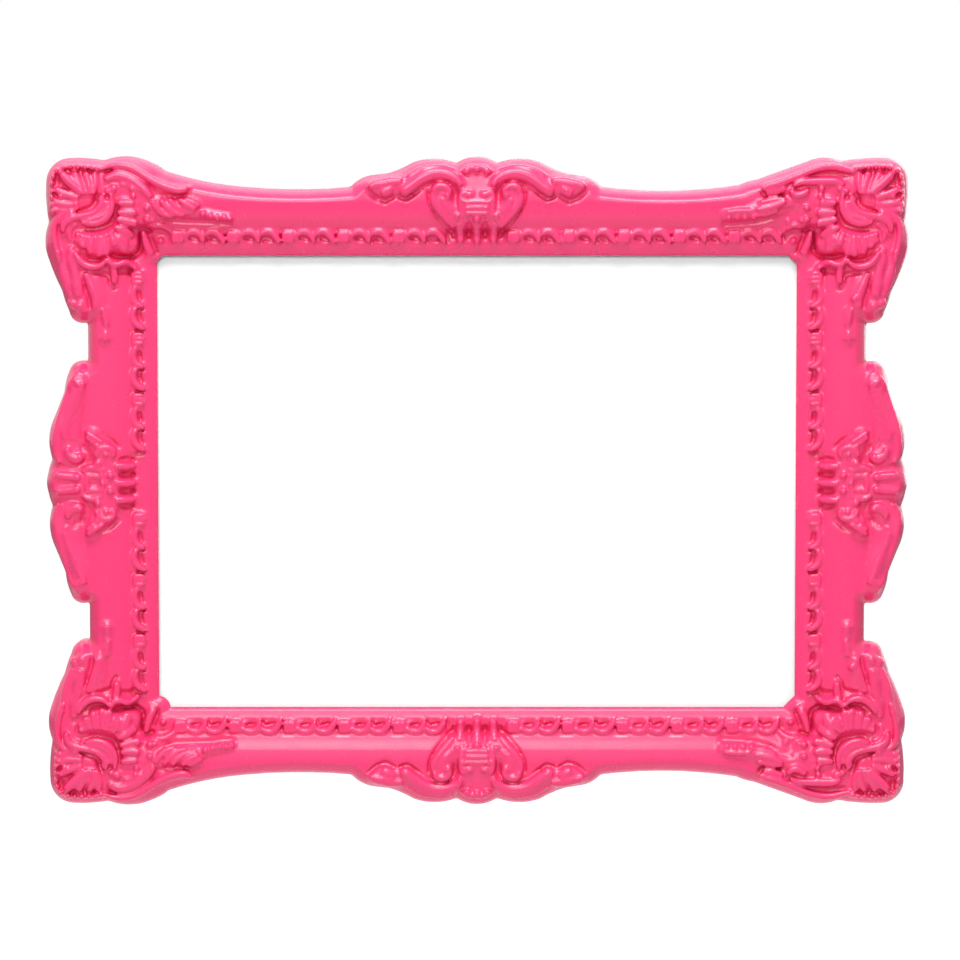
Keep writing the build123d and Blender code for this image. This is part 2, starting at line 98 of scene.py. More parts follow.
CORNER_STROKES = (
    # the scroll between the two shells, and the lobe it runs into
    (2.7, ((11.6, 16.2, 0.5), (11.4, 13.4, 0.85), (12.2, 11.0, 0.95), (14.2, 9.2, 0.95), (17.0, 8.5, 0.9),
           (19.6, 8.9, 0.5))),
    (2.2, ((12.9, 14.6, 0.5), (12.9, 12.6, 0.8), (13.9, 10.9, 0.9), (16.0, 9.9, 0.8), (18.6, 9.6, 0.5))),
    (2.7, ((13.9, 16.2, 0.5), (14.3, 13.6, 0.9), (15.8, 11.8, 0.95), (18.2, 10.9, 0.95), (20.6, 10.4, 1.0),
           (22.8, 9.7, 1.1), (24.3, 8.3, 1.0), (24.6, 6.2, 0.6))),
    (1.9, ((22.3, 11.4, 0.6), (25.0, 10.8, 0.9), (26.7, 8.8, 1.0), (27.1, 5.6, 0.9), (26.5, 2.0, 0.8),
           (25.6, -1.4, 0.7))),
    (1.7, ((20.6, 8.6, 0.6), (22.4, 7.6, 0.9), (23.0, 5.6, 0.8), (22.6, 4.0, 0.5))),
    # outer shell
    (1.9, ((16.3, 16.4, 0.5), (16.0, 18.5, 0.9), (15.9, 20.6, 1.0), (16.2, 22.2, 0.7))),
    (2.0, ((17.3, 16.2, 0.5), (17.5, 18.5, 0.95), (18.0, 20.6, 1.1), (18.6, 22.2, 0.8))),
    (2.1, ((18.5, 16.2, 0.6), (19.6, 18.4, 1.0), (20.7, 20.4, 1.15), (21.5, 22.1, 0.8))),
    (2.9, ((19.3, 16.6, 1.0), (21.2, 18.4, 1.4), (23.3, 20.3, 1.4), (24.9, 21.8, 1.0))),
    (2.2, ((20.3, 15.3, 0.7), (22.6, 16.0, 1.15), (24.8, 16.8, 1.2), (26.6, 17.8, 0.8))),
    (2.1, ((20.4, 13.9, 0.6), (22.8, 13.6, 1.05), (25.0, 13.8, 1.1), (26.9, 14.5, 0.8))),
    (1.9, ((20.3, 12.6, 0.5), (22.6, 12.2, 0.9), (24.7, 12.0, 0.9), (26.8, 12.3, 0.6))),
    # inner shell
    (2.0, ((10.0, 14.0, 0.6), (7.8, 14.0, 1.0), (5.5, 13.8, 0.8))),
    (2.4, ((10.0, 11.6, 0.6), (7.5, 11.4, 1.15), (4.9, 11.5, 0.9))),
    (2.8, ((10.2, 9.7, 0.7), (7.5, 9.2, 1.3), (4.8, 8.6, 1.1))),
    (3.1, ((10.8, 7.7, 0.7), (8.8, 6.8, 1.3), (6.4, 5.3, 1.2))),
    (3.0, ((12.0, 6.4, 0.7), (11.2, 4.4, 1.25), (10.7, 2.6, 1.2))),
    (2.3, ((13.6, 5.8, 0.6), (13.4, 3.2, 1.1), (13.1, 0.7, 1.2))),
    (2.4, ((14.9, 5.4, 0.6), (14.8, 3.0, 1.0), (14.7, 0.5, 1.2))),
    (2.3, ((16.4, 5.4, 0.6), (17.0, 3.4, 1.05), (17.3, 1.2, 1.1))),
    (2.2, ((18.0, 5.4, 0.6), (18.9, 3.9, 1.0), (19.4, 2.8, 0.95))),
    (2.1, ((19.4, 5.8, 0.5), (20.4, 4.5, 0.9), (20.9, 3.5, 0.9))),
    # the rim under the inner shell, turning over to its curl, with the finger that drops on the bar
    (2.5, ((21.5, 1.0, 0.6), (20.3, -1.0, 1.0), (18.6, -2.5, 1.05), (16.2, -3.0, 0.95), (14.2, -2.4, 0.75),
           (12.9, -1.0, 0.5))),
    (2.3, ((12.5, -0.6, 0.5), (11.6, -2.2, 0.8), (10.2, -2.4, 0.75), (8.2, -1.8, 0.85), (6.6, -2.4, 0.8),
           (5.2, -3.6, 0.6))),
    (1.6, ((11.4, -2.8, 0.9), (11.0, -5.0, 1.0), (11.0, -7.3, 0.8))),
    # leaves down the side
    (1.2, ((25.3, -1.5, 1.2), (24.5, -5.0, 1.5), (23.4, -8.6, 1.4), (22.8, -11.0, 0.9))),
    (1.9, ((22.7, 2.4, 0.9), (22.1, -1.4, 1.8), (21.5, -4.6, 1.4), (21.0, -8.0, 1.9), (20.6, -11.0, 1.3))),
    (1.6, ((18.7, -4.6, 0.9), (16.9, -8.6, 1.5), (16.0, -11.4, 1.4), (15.9, -14.0, 1.2))),
    (1.3, ((14.0, -14.2, 0.5), (13.7, -16.2, 0.9), (13.2, -18.7, 0.8))),
    (1.4, ((13.5, -20.3, 0.8), (13.5, -22.4, 1.4))),
    # tongue down the mitre to the opening
    (1.7, ((3.5, 6.6, 0.6), (3.0, 4.4, 0.9), (2.3, 2.2, 1.1), (1.4, 0.4, 1.1))),
    (1.1, ((0.8, 7.9, 0.6), (-1.4, 8.1, 0.85), (-3.4, 7.2, 0.85), (-4.8, 5.7, 0.6))),
)
CORNER_BEADS = (
    (2.4, 26.3, 22.7, 0.75), (2.4, 24.3, 23.5, 0.7), (2.4, 22.4, 23.7, 0.7), (2.4, 20.5, 23.7, 0.8),
    (2.4, 18.6, 23.6, 0.7), (2.4, 16.9, 23.5, 0.7), (2.4, 15.3, 23.2, 0.8),
    (2.4, 27.2, 21.0, 0.75), (2.4, 27.5, 19.2, 0.7), (2.4, 27.6, 17.2, 0.65), (2.4, 27.6, 15.5, 0.75),
    (2.4, 27.5, 13.6, 0.7), (2.4, 27.3, 11.8, 0.65), (2.6, 22.3, 11.2, 0.95), (2.4, 25.1, 15.8, 0.75),
    (2.1, 14.4, 15.0, 0.95), (2.1, 12.6, 17.2, 0.8), (2.0, 6.0, 17.7, 0.85), (2.0, 5.7, 15.9, 0.8),
    (2.0, 10.9, 17.9, 1.1), (2.0, 2.1, 12.7, 0.95), (2.2, 2.1, 9.6, 1.0), (1.6, 0.7, 9.4, 0.7),
    (2.4, 20.6, 5.6, 0.8), (1.6, 20.2, -13.4, 1.8), (1.5, 22.3, -12.6, 1.5), (1.4, -1.2, 3.9, 0.85),
    (2.0, 25.9, 0.8, 0.8), (3.0, 13.1, 1.0, 1.1), (3.0, 14.9, 0.6, 1.1), (2.9, 17.2, 1.3, 1.1),
    (2.8, 19.3, 2.8, 1.0),
)
LEFT_PADS = (
    (0.9, ((1.4, 13.6, 2.8), (-2.5, 12.6, 2.6), (-7.0, 12.2, 2.3), (-10.5, 11.6, 1.8), (-15.0, 10.8, 1.2),
           (-19.5, 10.2, 1.0))),
    (0.8, ((6.0, 22.5, 2.6), (1.0, 19.0, 2.6), (-3.5, 17.6, 2.0), (-7.5, 17.4, 1.6))),
    (-0.6, ((13.0, 22.7, 0.9), (9.0, 22.8, 1.2), (5.0, 21.2, 1.2), (2.0, 18.6, 1.2), (-0.2, 16.2, 1.0))),
    (-0.6, ((0.2, 16.4, 0.8), (-4.0, 16.1, 0.9), (-8.2, 16.0, 0.8))),
    (-0.8, ((-1.2, 12.8, 0.7), (-2.2, 10.4, 0.9), (-4.8, 9.3, 1.0), (-9.0, 9.2, 1.0), (-13.0, 9.1, 1.0),
            (-20.0, 8.5, 0.9))),
)
LEFT_STROKES = (
    (2.0, ((14.4, 23.0, 0.5), (12.0, 23.9, 0.8), (8.6, 23.9, 0.95), (5.8, 23.1, 1.0), (3.4, 21.7, 1.05),
           (1.0, 20.2, 1.05), (-2.0, 18.7, 1.1), (-5.0, 17.7, 1.15), (-7.4, 17.5, 1.0), (-9.1, 18.4, 0.6))),
    (2.0, ((13.4, 20.2, 0.9), (10.4, 21.3, 1.6), (7.4, 20.7, 1.7), (4.6, 19.1, 1.55), (2.4, 17.1, 1.3),
           (1.0, 15.4, 0.8))),
    (1.6, ((9.2, 19.0, 0.5), (6.8, 18.7, 0.8), (4.4, 17.4, 0.6))),
    (1.8, ((0.8, 14.6, 0.7), (-0.5, 12.7, 0.95), (-2.3, 11.1, 0.9), (-4.6, 10.4, 0.5))),
    (1.8, ((-1.5, 14.8, 0.6), (-3.3, 12.9, 0.95), (-5.4, 11.4, 0.9), (-7.8, 10.7, 0.5))),
    (1.7, ((-3.8, 15.0, 0.6), (-5.6, 13.2, 0.9), (-8.0, 11.9, 0.85), (-10.4, 11.2, 0.5))),
    (2.2, ((-6.5, 15.0, 0.6), (-8.5, 13.5, 1.0), (-10.9, 12.3, 0.6))),
    (1.9, ((-8.2, 15.2, 0.5), (-10.2, 14.1, 0.85), (-12.0, 13.3, 0.5))),
)
LEFT_BEADS = (
    (1.9, -12.8, 11.1, 0.9), (1.8, -14.8, 10.6, 0.85), (1.8, -16.6, 10.2, 0.85), (1.7, -18.4, 10.2, 0.8),
    (1.6, -20.0, 9.8, 0.7),
)
RIGHT_PADS = (
    (0.9, ((1.4, 14.0, 2.6), (-3.0, 13.9, 2.3), (-7.5, 12.9, 2.4), (-11.5, 12.0, 1.9), (-15.0, 10.9, 1.6),
           (-19.6, 10.7, 1.5))),
    (0.8, ((6.0, 22.4, 2.6), (1.0, 20.2, 2.8), (-3.5, 18.8, 2.4), (-8.0, 17.7, 1.8))),
    (-0.5, ((13.0, 21.3, 0.9), (9.0, 21.6, 1.1), (5.0, 21.5, 1.1), (1.0, 20.6, 1.0), (-3.0, 19.0, 0.9))),
    (-0.5, ((6.6, 17.0, 1.6), (3.2, 18.0, 1.2))),
    (-1.2, ((-4.4, 15.9, 0.8), (-6.8, 15.6, 1.1), (-9.2, 16.6, 1.1), (-9.9, 18.0, 0.7))),
    (-0.8, ((-1.4, 12.6, 0.8), (-5.4, 11.7, 1.0), (-6.6, 10.3, 0.9), (-10.0, 9.3, 1.0), (-15.0, 8.7, 1.0),
            (-20.0, 8.3, 0.9))),
)
RIGHT_STROKES = (
    (2.0, ((14.8, 22.3, 0.6), (12.4, 22.9, 0.8), (9.4, 23.6, 0.95), (6.4, 23.5, 1.0), (3.4, 22.7, 1.0),
           (0.4, 21.5, 1.0), (-2.8, 20.2, 1.1), (-6.0, 19.1, 1.15), (-8.6, 18.4, 1.05), (-9.9, 17.8, 0.6))),
    (2.2, ((12.0, 18.9, 0.6), (10.2, 19.7, 1.0), (8.0, 19.8, 1.15), (5.0, 19.8, 1.1), (2.4, 19.7, 1.0),
           (0.4, 19.5, 0.9), (-1.6, 18.6, 0.5))),
    (2.2, ((2.6, 17.5, 0.7), (0.8, 16.3, 1.05), (-1.0, 16.2, 1.0), (-2.3, 17.4, 0.6))),
    (1.5, ((-3.6, 17.9, 0.8), (-6.4, 17.2, 1.2), (-8.8, 16.9, 0.9))),
    (1.5, ((-3.6, 15.1, 0.6), (-6.8, 14.8, 0.85), (-10.4, 14.2, 0.5))),
    (2.0, ((-3.6, 14.4, 0.6), (-6.3, 13.3, 1.0), (-9.4, 12.5, 0.95), (-11.4, 12.2, 0.5))),
    (1.5, ((-5.4, 12.0, 0.5), (-8.4, 11.2, 0.8), (-11.2, 10.8, 0.5))),
    (1.6, ((-12.2, 11.8, 0.6), (-15.6, 11.9, 0.75), (-19.4, 11.6, 0.6))),
    (2.0, ((10.0, 14.2, 0.6), (8.0, 14.0, 0.9), (6.0, 14.8, 0.6))),
)
RIGHT_BEADS = (
    (1.9, -12.0, 10.4, 0.9), (1.8, -14.3, 10.3, 0.95), (1.8, -16.4, 10.3, 0.95), (1.7, -18.6, 10.2, 0.9),
    (0.9, -2.7, 9.2, 0.9), (2.1, 15.0, -11.5, 1.1),
)

# The web in each corner of the opening: its reach, and how flat its edge is, from a round lobe to a chamfer
WEB_LOBE = 3.0
WEBS = {(-1, 1): (1.6, 0.9), (1, 1): (2.3, 0.9), (-1, -1): (3.0, 0.1), (1, -1): (3.0, 0.9)}

# The crests over the middles of the bars: (along the bar from its middle, out from the opening, half width)
CREST_PADS = (
    (1.3, ((4.2, 19.4, 2.4), (8.0, 21.2, 2.6), (12.5, 21.2, 2.8), (16.5, 19.9, 2.8), (19.5, 18.2, 2.4))),
    (1.1, ((20.5, 19.4, 2.4), (24.6, 17.9, 2.8), (27.6, 18.6, 2.2))),
    (1.4, ((9.4, 16.8, 3.0), (8.9, 13.8, 3.1), (7.2, 11.2, 3.0), (5.4, 8.8, 2.4), (3.2, 8.6, 2.2))),
    (1.5, ((0.0, 20.0, 3.8), (0.0, 15.0, 4.6), (0.0, 11.4, 4.2), (0.0, 8.8, 2.8))),
    (-0.45, ((0.0, 20.0, 2.8), (0.0, 18.4, 2.8))),
    (-0.4, ((5.4, 19.0, 1.0), (6.0, 16.4, 1.1), (6.4, 13.8, 0.9))),
    (-0.9, ((6.2, 17.9, 0.6), (8.0, 19.5, 0.6), (11.5, 19.3, 0.8), (14.4, 18.5, 0.9), (16.6, 16.8, 0.9),
            (18.8, 15.3, 1.0), (20.6, 15.8, 0.9))),
    (-0.9, ((22.4, 15.8, 0.8), (24.6, 14.6, 1.0), (27.0, 15.4, 1.0), (28.9, 17.2, 0.9))),
    (-0.9, ((12.9, 16.8, 0.7), (12.6, 14.8, 0.9), (11.5, 12.6, 1.0), (9.9, 10.4, 1.1), (8.3, 8.4, 1.1),
            (7.2, 6.6, 0.9))),
    (-1.3, ((2.2, 8.4, 0.9), (2.2, 7.0, 1.2), (2.2, 5.2, 0.8))),
    (-1.1, ((6.2, 8.2, 0.8), (6.4, 6.8, 1.1), (6.2, 5.2, 0.7))),
)
CREST_STROKES = (
    # the arm, its two lobes and the volute hanging under it
    (2.2, ((4.2, 18.6, 0.8), (5.2, 20.2, 1.3), (7.4, 21.4, 1.7), (10.2, 21.9, 1.9), (13.0, 21.4, 1.9),
           (15.4, 20.2, 1.8), (17.4, 18.7, 1.7), (19.2, 17.5, 1.6))),
    (1.3, ((6.0, 22.8, 0.6), (9.6, 23.6, 0.8), (12.6, 23.4, 0.8), (15.8, 22.6, 0.8), (18.4, 21.2, 0.6))),
    (2.0, ((20.0, 19.8, 1.0), (22.6, 19.6, 1.5), (25.4, 19.0, 1.6), (27.4, 18.8, 1.3), (28.8, 18.2, 0.9))),
    (1.9, ((22.4, 18.4, 1.1), (24.0, 17.3, 1.6), (25.6, 16.6, 1.2))),
    (2.3, ((11.5, 17.0, 0.7), (10.8, 18.3, 0.95), (9.3, 18.6, 0.95), (8.0, 18.1, 0.95), (7.5, 16.9, 0.9),
           (8.5, 16.0, 0.6))),
    (1.8, ((11.6, 17.0, 0.8), (11.6, 15.0, 1.1), (10.6, 13.0, 1.2), (9.0, 11.0, 1.2), (7.4, 9.2, 1.1),
           (6.2, 7.7, 0.7))),
    (1.8, ((9.3, 15.3, 0.7), (8.5, 13.2, 1.1), (6.9, 11.4, 0.8))),
    (1.8, ((3.5, 17.6, 0.6), (4.1, 16.2, 0.8), (4.3, 14.2, 0.8), (4.1, 12.2, 0.8), (3.4, 10.4, 0.7),
           (2.2, 9.4, 0.6))),
    (1.9, ((0.0, 23.5, 0.7), (2.2, 23.3, 0.8), (3.7, 22.2, 0.8))),
    (1.9, ((4.8, 8.8, 0.9), (4.5, 6.2, 1.05), (4.4, 3.5, 0.9))),
)
CREST_MIDDLE_STROKES = (
    (1.9, ((0.0, 8.8, 0.9), (0.0, 6.2, 1.05), (0.0, 3.2, 0.9))),
    (2.5, ((-3.3, 14.2, 0.6), (0.0, 14.3, 0.75), (3.3, 14.2, 0.6))),
    (2.5, ((-3.2, 12.7, 0.6), (0.0, 12.8, 0.75), (3.2, 12.7, 0.6))),
    (2.4, ((-3.0, 11.3, 0.6), (0.0, 11.3, 0.7), (3.0, 11.3, 0.6))),
)
CREST_BEADS = (
    (2.9, 1.7, 16.3, 1.0), (2.9, 2.5, 16.3, 1.0), (2.2, 5.2, 10.6, 0.95), (2.5, 7.7, 16.0, 0.95),
    (2.3, 2.7, 22.5, 0.95), (2.1, 19.3, 17.4, 1.7), (2.3, 3.7, 14.6, 0.6),
)
CREST_MIDDLE_BEADS = ((2.7, 0.0, 9.8, 1.1), (2.4, 0.0, 23.0, 1.0))
SIDE_CREST_PADS = (
    (1.2, ((27.4, 21.2, 2.8), (22.5, 22.4, 3.6), (17.0, 23.8, 3.8), (11.5, 24.2, 3.8), (7.0, 23.0, 3.2))),
    (1.3, ((13.0, 17.4, 1.8), (10.4, 15.6, 2.8), (7.6, 14.0, 3.4), (4.6, 13.0, 3.0), (2.0, 12.4, 2.6))),
    (1.3, ((0.0, 26.4, 4.0), (0.0, 21.0, 5.2), (0.0, 16.0, 4.8), (0.0, 12.6, 3.4))),
    (-0.7, ((11.4, 22.2, 0.8), (10.4, 21.2, 1.2), (9.8, 19.8, 0.9))),
    (-0.6, ((0.0, 17.2, 1.8), (0.0, 16.2, 1.7))),
    (-1.3, ((2.2, 9.6, 0.9), (2.2, 8.0, 1.2), (2.2, 6.6, 0.8))),
    (-1.1, ((6.2, 9.6, 0.8), (6.4, 8.2, 1.1), (6.2, 6.8, 0.7))),
    (-0.8, ((12.9, 15.2, 0.8), (11.6, 12.4, 0.9), (9.8, 10.4, 0.9))),
)
SIDE_CREST_STROKES = (
    (1.4, ((5.4, 26.0, 0.6), (8.0, 26.8, 1.2), (12.0, 26.8, 1.4), (16.0, 25.9, 1.4), (20.0, 24.7, 1.3),
           (24.0, 23.4, 1.3), (27.0, 22.4, 1.2), (28.8, 21.2, 0.8))),
    (1.9, ((11.5, 24.4, 0.8), (13.6, 24.6, 1.5), (17.5, 23.4, 1.2), (21.2, 21.8, 1.8), (24.5, 20.6, 1.3),
           (27.2, 19.5, 0.9))),
    (1.9, ((28.4, 22.4, 0.5), (26.8, 21.0, 0.65), (25.6, 19.8, 0.5))),
    (2.3, ((9.6, 23.8, 0.6), (8.2, 23.6, 1.1), (7.0, 22.5, 1.5), (6.6, 21.2, 1.5), (7.4, 19.9, 0.9))),
    (2.2, ((13.8, 18.6, 0.5), (12.4, 16.6, 0.8), (11.0, 14.2, 0.6))),
    (2.1, ((7.2, 16.2, 0.7), (9.0, 15.1, 0.85), (9.7, 13.4, 0.9), (8.8, 11.7, 0.85), (7.0, 11.5, 0.6))),
    (2.2, ((2.2, 27.0, 0.8), (1.9, 24.0, 1.15), (1.6, 21.4, 1.2))),
    (1.8, ((3.2, 19.8, 0.6), (4.2, 18.0, 0.8), (3.9, 16.0, 0.8), (3.2, 14.2, 0.6))),
    (1.9, ((4.6, 11.2, 0.9), (4.5, 8.8, 1.05), (4.5, 6.4, 0.9))),
)
SIDE_CREST_MIDDLE_STROKES = (
    (1.8, ((-2.6, 18.4, 0.5), (0.0, 18.6, 0.7), (2.6, 18.4, 0.5))),
    (1.8, ((-2.6, 14.6, 0.5), (0.0, 14.4, 0.7), (2.6, 14.6, 0.5))),
    (1.6, ((-1.7, 18.2, 0.5), (-1.9, 16.4, 0.8), (-1.7, 14.8, 0.5))),
    (1.6, ((1.7, 18.2, 0.5), (1.9, 16.4, 0.8), (1.7, 14.8, 0.5))),
    (1.9, ((0.0, 11.0, 0.9), (0.0, 8.8, 1.05), (0.0, 6.2, 0.9))),
)
SIDE_CREST_BEADS = (
    (2.5, 1.6, 21.2, 1.2), (2.2, 12.2, 18.2, 0.75), (2.3, 11.3, 17.1, 0.85), (2.3, 10.1, 15.8, 0.9),
    (2.4, 7.7, 13.5, 0.85), (2.5, 5.3, 15.6, 1.1), (2.4, 2.1, 12.3, 1.0),
)
SIDE_CREST_MIDDLE_BEADS = ((2.3, 0.0, 14.2, 0.8),)

# The band's repeat: a ridged block and two hooks, each as (along, out across, half width)
BAND_PADS = (
    (1.0, ((1.0, 4.9, 1.5), (2.8, 4.9, 1.5))),
    (0.9, ((4.4, 5.2, 1.5), (7.6, 5.0, 1.5))),
    (0.9, ((10.2, 5.2, 1.5), (12.6, 5.0, 1.5))),
    (0.9, ((3.8, 6.4, 0.9), (14.2, 6.4, 0.9))),
    (-1.6, ((5.2, 4.7, 0.8), (7.2, 4.5, 0.8))),
    (-1.6, ((10.6, 4.7, 0.8), (12.5, 4.4, 0.8))),
    (-1.2, ((9.2, 4.0, 0.8), (9.7, 5.0, 0.6))),
    (-0.8, ((14.7, 3.8, 0.8), (15.0, 5.2, 0.7))),
)
BAND_STROKES = (
    (1.6, ((0.7, 3.6, 0.5), (0.7, 6.2, 0.6))),
    (1.6, ((1.8, 3.5, 0.5), (1.8, 6.3, 0.6))),
    (1.6, ((2.9, 3.6, 0.5), (2.9, 6.2, 0.6))),
    (1.5, ((0.5, 6.2, 0.6), (3.1, 6.2, 0.6))),
    (1.6, ((3.8, 5.4, 0.6), (5.0, 6.2, 0.85), (6.6, 6.4, 0.9), (7.8, 5.7, 0.95), (8.5, 4.4, 0.8),
           (8.8, 3.4, 0.4))),
    (1.8, ((9.2, 5.7, 0.7), (10.5, 6.4, 0.9), (11.9, 6.4, 1.0), (13.1, 5.4, 1.0), (13.9, 4.1, 0.85),
           (14.3, 3.2, 0.4))),
)
# Its length, and how far it keeps from the middle and from the ends of the opening's sides
BAND_PITCH = 14.9
BAND_GAP = 8.0
BAND_END = 4.0

# The bed under the strokes: how far it stretches to each side, the spacing of a pad's domes, and the width
# that parts the narrow pads from the wide ones in the look-up
BED_REACH = (119.0, 91.0)
DOME_SPACING = 0.6
NARROW = 1.6
# How far under its top a stroke or bead is held up by the bed, and how wide, as shares of its half width
STROKE_SUPPORT = (0.8, 1.1)
BEAD_SUPPORT = (0.7, 1.15)
# A bead's line: places along it and half widths, as shares of its radius
BEAD_LINE = ((-0.95, 0.3), (-0.55, 0.83), (0.0, 1.0), (0.55, 0.83), (0.95, 0.3))
# How far the carved front reaches behind the hollow back's cut
FRONT_OVERLAP = 0.05
# The camera's sensor in millimetres, then the width that it sees at the frame's face and how far that face
# lies before the point it looks at, in metres
SENSOR_WIDTH = 36.0
VIEW_WIDTH = 0.2568
FACE_DEPTH = 0.008
# Sharpest angles that are shaded smooth on the back and on the carving
BACK_ANGLE, CARVING_ANGLE = 30, 60


def along_profile(profile, distance):
    """Depth on a profile at a distance along it, held beyond its ends."""
    for (near, low), (far, high) in zip(profile, profile[1:]):
        if distance <= far:
            share = max(0.0, (distance - near) / (far - near))
            return low + share * (high - low)
    return profile[-1][1]


def web_reach(x, z):
    """How far the web in the opening's nearest corner reaches towards a spot."""
    across, up = max(0.0, HALF_OPENING[0] - abs(x)), max(0.0, HALF_OPENING[1] - abs(z))
    reach, flat = WEBS[(1 if x > 0 else -1, 1 if z > 0 else -1)]
    if across == 0.0 or up == 0.0:
        return reach
    return reach * (1.0 - flat + flat * math.hypot(across, up) / (across + up))


def srgb(red, green, blue):
    """A colour given as on a screen, in the linear values that sockets take."""
    channels = (c / 12.92 if c <= 0.04045 else ((c + 0.055) / 1.055) ** 2.4 for c in (red, green, blue))
    return tuple(channels) + (1.0,)


class FrameSizes(bpy.types.PropertyGroup):
    """Sizes of the frame's visible pieces."""
    voxel: bpy.props.FloatProperty(
        name="Carving grain", description="Size of the cells that melt the carving together", default=0.32,
        min=0.2, max=1.0)
    bed_grid: bpy.props.FloatProperty(
        name="Bed grid", description="Spacing of the grid under the carving", default=0.5, min=0.3, max=3.0)
    split_depth: bpy.props.FloatProperty(
        name="Split depth", description="Depth at which the carved front meets the hollow back", default=6.5,
        min=5.0, max=7.0)
    smoothing: bpy.props.IntProperty(
        name="Softness", description="Passes that soften the carving's edges", default=8, min=0, max=20)
    grain_height: bpy.props.FloatProperty(
        name="Surface grain", description="Height of the plastic's fine surface grain", default=0.00004,
        subtype="DISTANCE", unit="LENGTH")


class FrameColours(bpy.types.PropertyGroup):
    """Colours of the frame's finishes."""
    plastic: bpy.props.FloatVectorProperty(
        name="Plastic", description="Colour of the moulded plastic", subtype="COLOR", size=4,
        default=srgb(0.945, 0.225, 0.455))
    # Painted shade: the darker pink that ambient occlusion lays into the carving's creases and hollows
    plastic_painted_shade: bpy.props.FloatVectorProperty(
        name="Painted shade in the hollows", description="Colour painted into the creases as shade", subtype="COLOR",
        size=4, default=srgb(0.80, 0.10, 0.30))
    card: bpy.props.FloatVectorProperty(
        name="Card", description="Colour of the bare photo card", subtype="COLOR", size=4,
        default=srgb(0.985, 0.985, 0.985))
    board: bpy.props.FloatVectorProperty(
        name="Backing board", description="Colour of the pressed board", subtype="COLOR", size=4,
        default=srgb(0.52, 0.47, 0.41))


def shade_by_angle(mesh, degrees):
    """Shades a bmesh smooth, with edges sharper than an angle kept crisp."""
    for face in mesh.faces:
        face.smooth = True
    limit = math.radians(degrees)
    for edge in mesh.edges:
        edge.smooth = len(edge.link_faces) == 2 and edge.calc_face_angle(0.0) < limit


def finished(name, mesh, material, degrees):
    """A bmesh in millimetres as a finished object that rides on the frame."""
    mesh.transform(Matrix.Scale(MILLIMETRE, 4))
    shade_by_angle(mesh, degrees)
    data = bpy.data.meshes.new(name)
    mesh.to_mesh(data)
    mesh.free()
    piece = bpy.data.objects.new(name, data)
    bpy.context.scene.collection.objects.link(piece)
    data.materials.append(material)
    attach(piece, "frame")
    return piece


def cad_copy(node):
    """A merged copy of a CAD node's mesh, in millimetres."""
    mesh = bmesh.new()
    mesh.from_mesh(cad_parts[node].data)
    bmesh.ops.remove_doubles(mesh, verts=mesh.verts, dist=1e-7)
    mesh.transform(Matrix.Scale(1 / MILLIMETRE, 4))
    return mesh


def cut(mesh, point, normal):
    """Cuts away what lies beyond a plane, and closes the cut."""
    parts = mesh.verts[:] + mesh.edges[:] + mesh.faces[:]
    made = bmesh.ops.bisect_plane(
        mesh, geom=parts, plane_co=point, plane_no=normal, dist=1e-5, clear_outer=True)
    edges = [part for part in made["geom_cut"] if isinstance(part, bmesh.types.BMEdge)]
    if edges:
        filled = bmesh.ops.triangle_fill(
            mesh, use_beauty=True, use_dissolve=False, edges=edges, normal=normal)
        faces = [part for part in filled["geom"] if isinstance(part, bmesh.types.BMFace)]
        for face in faces:
            if face.normal.dot(Vector(normal)) < 0:
                face.normal_flip()
    return edges


def outer_loop(edges):
    """Places of the vertices round the outermost loop of cut edges, in order."""
    start = min((vert for edge in edges for vert in edge.verts), key=lambda vert: vert.co.x)
    known = set(edges)
    loop, vert, edge = [], start, None
    while vert is not start or not loop:
        loop.append(vert.co.copy())
        edge = next(e for e in vert.link_edges if e in known and e is not edge)
        vert = edge.other_vert(vert)
    return loop


def applied(name, mesh, *modifiers):
    """A bmesh made from a mesh with modifiers applied. Each is its type and its settings."""
    data = bpy.data.meshes.new(name)
    mesh.to_mesh(data)
    mesh.free()
    rough = bpy.data.objects.new(name, data)
    bpy.context.scene.collection.objects.link(rough)
    for kind, settings in modifiers:
        modifier = rough.modifiers.new(kind.lower(), kind)
        for key, value in settings.items():
            setattr(modifier, key, value)
    bpy.context.view_layer.update()
    made = bmesh.new()
    made.from_object(rough, bpy.context.evaluated_depsgraph_get())
    bpy.data.objects.remove(rough)
    bpy.data.meshes.remove(data)
    return made


def hollow_back():
    """The moulding behind the carving, and the outline where it was cut."""
    depth = -bpy.context.scene.frame_sizes.split_depth
    mesh = cad_copy("frame_moulding")
    for vert in mesh.verts:
        x, y, z = vert.co
        corner = Vector((math.copysign(HALF_OPENING[0], x), y, math.copysign(HALF_OPENING[1], z)))
        inside = abs(x) < HALF_OPENING[0] + 1e-3 and abs(z) < HALF_OPENING[1] + 1e-3
        if inside and abs((vert.co - corner).length - WEB_LOBE) < 0.01:
            vert.co = corner + web_reach(x, z) / WEB_LOBE * (vert.co - corner)
    edges = cut(mesh, (0, depth, 0), (0, -1, 0))
    return mesh, outer_loop(edges)


